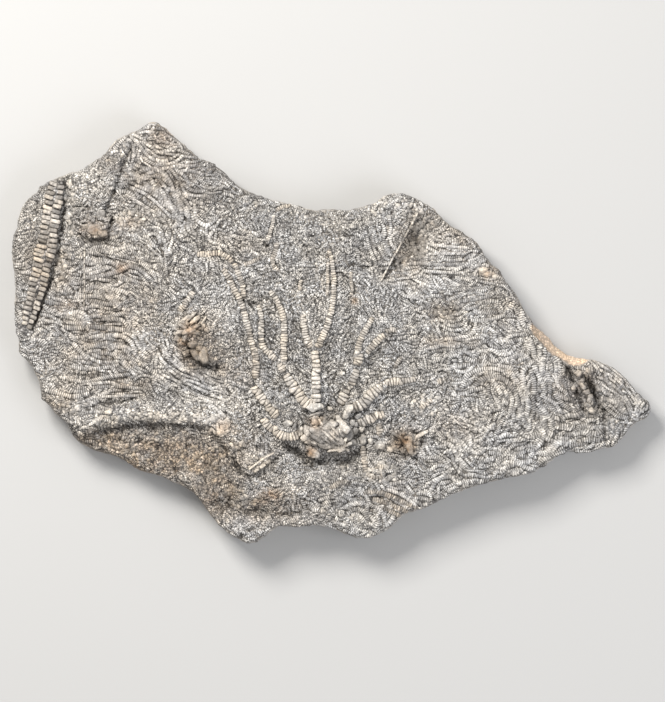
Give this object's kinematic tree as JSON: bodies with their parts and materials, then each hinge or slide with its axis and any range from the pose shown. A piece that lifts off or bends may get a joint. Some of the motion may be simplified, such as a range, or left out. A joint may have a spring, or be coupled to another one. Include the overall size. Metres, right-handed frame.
{
  "type": "crinoid fossil",
  "caption": "Broken limestone plate, flat on its back, its face matted with fossil sea-lily arms around a small crown with forking, beaded arms.",
  "frame": {"origin": "middle of the plate's box in X and Y, on the surface that its flat back lies on", "axes": "+X along the plate's length, from the thick broken left end to the pointed right tip; +Y across it, towards the peaked edge; +Z out of the fossil face"},
  "size_m": [0.1854, 0.1218, 0.0173],
  "materials": {
    "limestone_matrix": "matt grey-brown limestone with a fine grain, warmer and browner on the lower left shelf",
    "fossil_calcite": "pale cream-grey fossil calcite with a faint sheen and dirt in the joints"
  },
  "bodies": {
    "root": {"fossil_slab": "limestone_matrix"}
  },
  "joints": []
}
